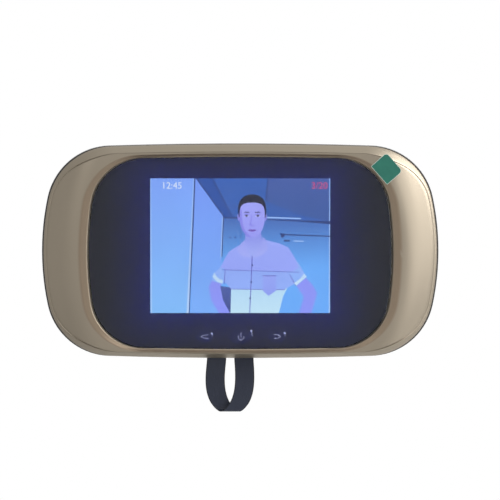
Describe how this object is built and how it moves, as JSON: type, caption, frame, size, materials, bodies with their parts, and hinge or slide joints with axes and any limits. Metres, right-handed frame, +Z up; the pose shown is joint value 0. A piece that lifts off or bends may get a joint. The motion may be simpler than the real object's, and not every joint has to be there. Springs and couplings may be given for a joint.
{
  "type": "peephole door camera",
  "caption": "Door viewer with an indoor screen unit on a wall bracket, a tube through the door and a round outdoor camera head with a bell button.",
  "frame": {"origin": "on the tube's axis, in the plane of the door's inner face", "axes": "+Z up, +Y through the door to the outside, +X to the right seen from the room"},
  "size_m": [0.1272, 0.0765, 0.0864],
  "materials": {
    "champagne_coat": "satin champagne metallic coating on moulded plastic",
    "black_gloss": "high gloss, back-printed black",
    "clear_film": "clear, glossy",
    "green_tab": "semi-gloss",
    "lcd_face": "glossy, lit",
    "sheet_steel": "plated sheet",
    "white_plastic": "matt",
    "circuit_board": "semi-gloss solder mask",
    "chip_black": "matt",
    "screw_steel": "zinc plated",
    "charcoal_plastic": "fine matt texture",
    "key_black": "gloss",
    "cell_wrap": "glossy sleeve over metal can",
    "magnet_plate": "zinc plated",
    "cone_paper": "matt",
    "ribbon_grey": "satin",
    "plated_brass": "nickel plated",
    "gasket_rubber": "matt",
    "zinc_satin": "satin",
    "face_gloss": "high gloss",
    "lens_glass": "coated, clear",
    "lamp_clear": "clear tinted",
    "bell_satin": "satin chrome"
  },
  "bodies": {
    "door_unit": {"bracket": "sheet_steel", "clamp_nut": "plated_brass", "threaded_tube": "plated_brass", "gasket": "gasket_rubber", "outdoor_base": "charcoal_plastic", "outdoor_housing": "zinc_satin", "outdoor_face": "face_gloss", "lens_ring": "zinc_satin", "lens_barrel": "chip_black", "lens_front": "lens_glass", "lens_elements": "lens_glass", "image_sensor": "chip_black", "camera_board": "circuit_board", "camera_board_screws": "screw_steel", "infrared_leds": "lamp_clear", "light_sensor": "lamp_clear", "bell_switch": "chip_black", "outdoor_screws": "screw_steel", "ribbon_in_tube": "ribbon_grey", "ribbon_loop": "ribbon_grey"},
    "monitor": {"front_frame": "champagne_coat", "front_panel": "black_gloss", "protective_film": "clear_film", "film_pull_tab": "green_tab", "lcd_frame": "sheet_steel", "lcd_glass": "lcd_face", "backlight_unit": "white_plastic", "main_board": "circuit_board", "board_chips": "chip_black", "main_board_screws": "screw_steel", "key_switches": "chip_black", "usb_socket": "sheet_steel", "card_socket": "sheet_steel", "ribbon_connector": "white_plastic", "rear_cover": "charcoal_plastic", "case_screws": "screw_steel", "battery_contacts": "sheet_steel", "battery_springs": "sheet_steel", "battery_1": "cell_wrap", "battery_2": "cell_wrap", "speaker_frame": "chip_black", "speaker_cone": "cone_paper", "speaker_magnet": "magnet_plate"},
    "key_left_body": {"key_left": "key_black"},
    "key_power_body": {"key_power": "key_black"},
    "key_right_body": {"key_right": "key_black"},
    "bell_button_body": {"bell_button": "bell_satin"},
    "battery_cover_body": {"battery_cover": "charcoal_plastic"},
    "memory_card_body": {"memory_card": "chip_black"},
    "ribbon_latch_body": {"ribbon_latch": "chip_black"}
  },
  "joints": [
    {"name": "monitor_lift", "type": "slide", "parent": "door_unit", "child": "monitor", "axis": [0, 0, 1], "range_m": [0, 0.005], "deforming": ["ribbon_loop"]},
    {"name": "key_left_press", "type": "slide", "parent": "monitor", "child": "key_left_body", "axis": [0, 1, 0], "range_m": [0, 0.00035], "stiffness_N_per_m": 800},
    {"name": "key_power_press", "type": "slide", "parent": "monitor", "child": "key_power_body", "axis": [0, 1, 0], "range_m": [0, 0.00035], "stiffness_N_per_m": 800},
    {"name": "key_right_press", "type": "slide", "parent": "monitor", "child": "key_right_body", "axis": [0, 1, 0], "range_m": [0, 0.00035], "stiffness_N_per_m": 800},
    {"name": "bell_button_press", "type": "slide", "parent": "door_unit", "child": "bell_button_body", "axis": [0, -1, 0], "range_m": [0, 0.0008], "stiffness_N_per_m": 800},
    {"name": "battery_cover_slide", "type": "slide", "parent": "monitor", "child": "battery_cover_body", "axis": [0, 1, 0], "range_m": [0, 0.012]},
    {"name": "memory_card_slide", "type": "slide", "parent": "monitor", "child": "memory_card_body", "axis": [0, 0, -1], "range_m": [0, 0.012]},
    {"name": "ribbon_latch_flip", "type": "hinge", "parent": "monitor", "child": "ribbon_latch_body", "pos_m": [-0.00736, -0.0056, -0.0176], "axis": [1, 0, 0], "range_deg": [0, 90]}
  ]
}
